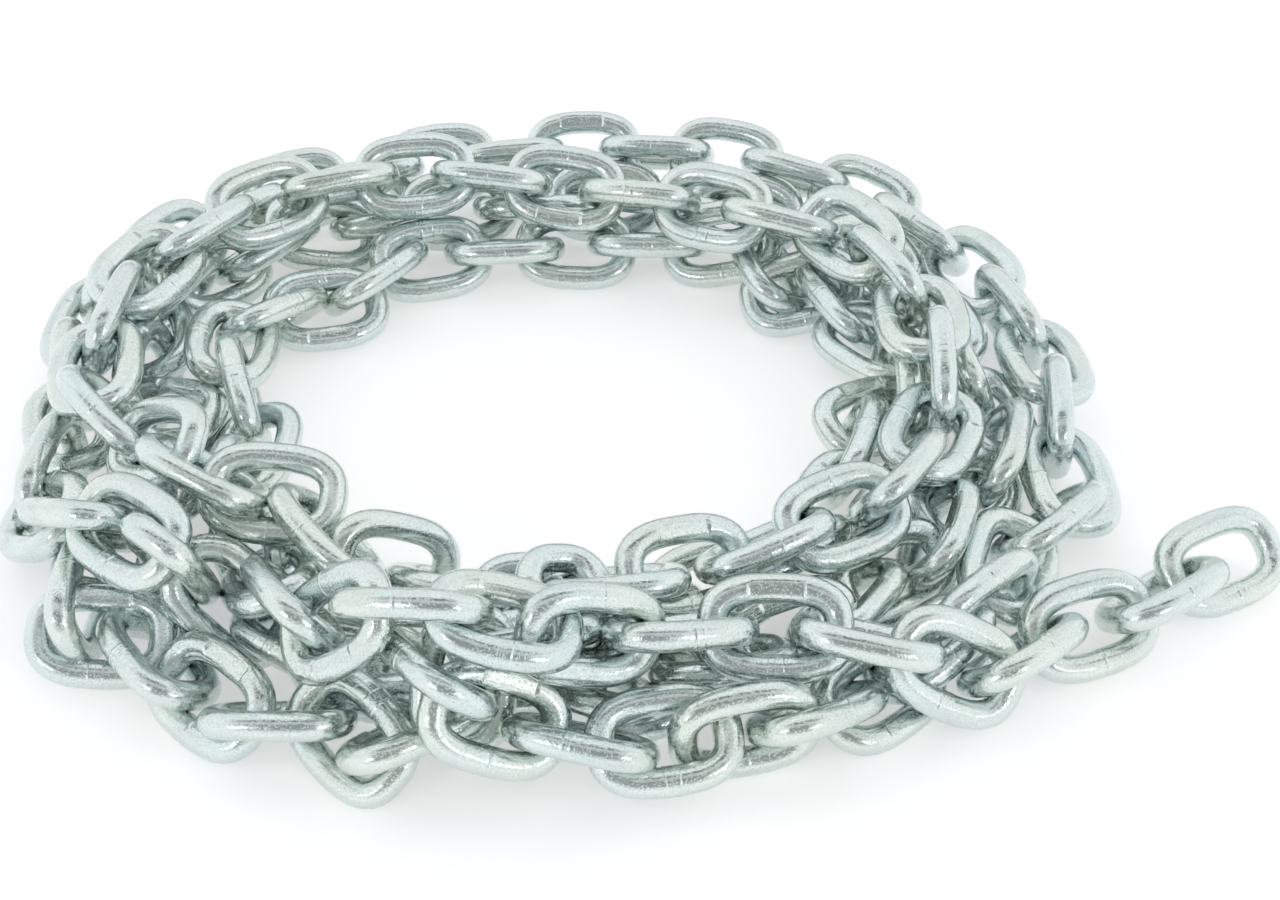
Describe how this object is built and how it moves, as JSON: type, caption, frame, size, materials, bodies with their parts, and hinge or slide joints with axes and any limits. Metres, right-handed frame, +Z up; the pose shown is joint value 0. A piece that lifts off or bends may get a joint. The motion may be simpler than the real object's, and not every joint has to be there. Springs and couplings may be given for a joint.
{
  "type": "heap of steel chain",
  "caption": "Loose coil of zinc-plated round-steel short-link chain lying on the floor in overlapping turns, with one free end drawn out.",
  "frame": {"origin": "centre of the heap's footprint, on the floor it lies on", "axes": "+Z up; X along the heap's longest side, +X towards the loose end; -Y towards the side that faces the viewer"},
  "size_m": [0.4596, 0.3582, 0.0778],
  "materials": {
    "zinc_steel": "bright zinc plating, satin, with fine draw lines"
  },
  "bodies": {
    "root": {"links_001_to_003": "zinc_steel", "links_004_to_006": "zinc_steel", "links_007_to_009": "zinc_steel", "links_010_to_012": "zinc_steel", "links_013_to_015": "zinc_steel", "links_016_to_018": "zinc_steel", "links_019_to_021": "zinc_steel", "links_022_to_024": "zinc_steel", "links_025_to_027": "zinc_steel", "links_028_to_030": "zinc_steel", "links_031_to_033": "zinc_steel", "links_034_to_036": "zinc_steel", "links_037_to_039": "zinc_steel", "links_040_to_042": "zinc_steel", "links_043_to_045": "zinc_steel", "links_046_to_048": "zinc_steel", "links_049_to_051": "zinc_steel", "links_052_to_054": "zinc_steel", "links_055_to_057": "zinc_steel", "links_058_to_060": "zinc_steel", "links_061_to_063": "zinc_steel", "links_064_to_066": "zinc_steel", "links_067_to_069": "zinc_steel", "links_070_to_072": "zinc_steel", "links_073_to_075": "zinc_steel", "links_076_to_078": "zinc_steel", "links_079_to_081": "zinc_steel", "links_082_to_084": "zinc_steel", "links_085_to_087": "zinc_steel", "links_088_to_090": "zinc_steel", "links_091_to_093": "zinc_steel", "links_094_to_096": "zinc_steel", "links_097_to_099": "zinc_steel", "links_100_to_102": "zinc_steel", "links_103_to_105": "zinc_steel", "links_106_to_108": "zinc_steel", "links_109_to_111": "zinc_steel", "links_112_to_114": "zinc_steel", "links_115_to_117": "zinc_steel", "links_118_to_120": "zinc_steel", "links_121_to_123": "zinc_steel", "links_124_to_126": "zinc_steel", "links_127_to_129": "zinc_steel", "links_130_to_132": "zinc_steel", "links_133_to_135": "zinc_steel", "links_136_to_138": "zinc_steel", "links_139_to_141": "zinc_steel", "links_142_to_144": "zinc_steel", "links_145_to_147": "zinc_steel", "links_148_to_150": "zinc_steel", "links_151_to_152": "zinc_steel"}
  },
  "joints": []
}
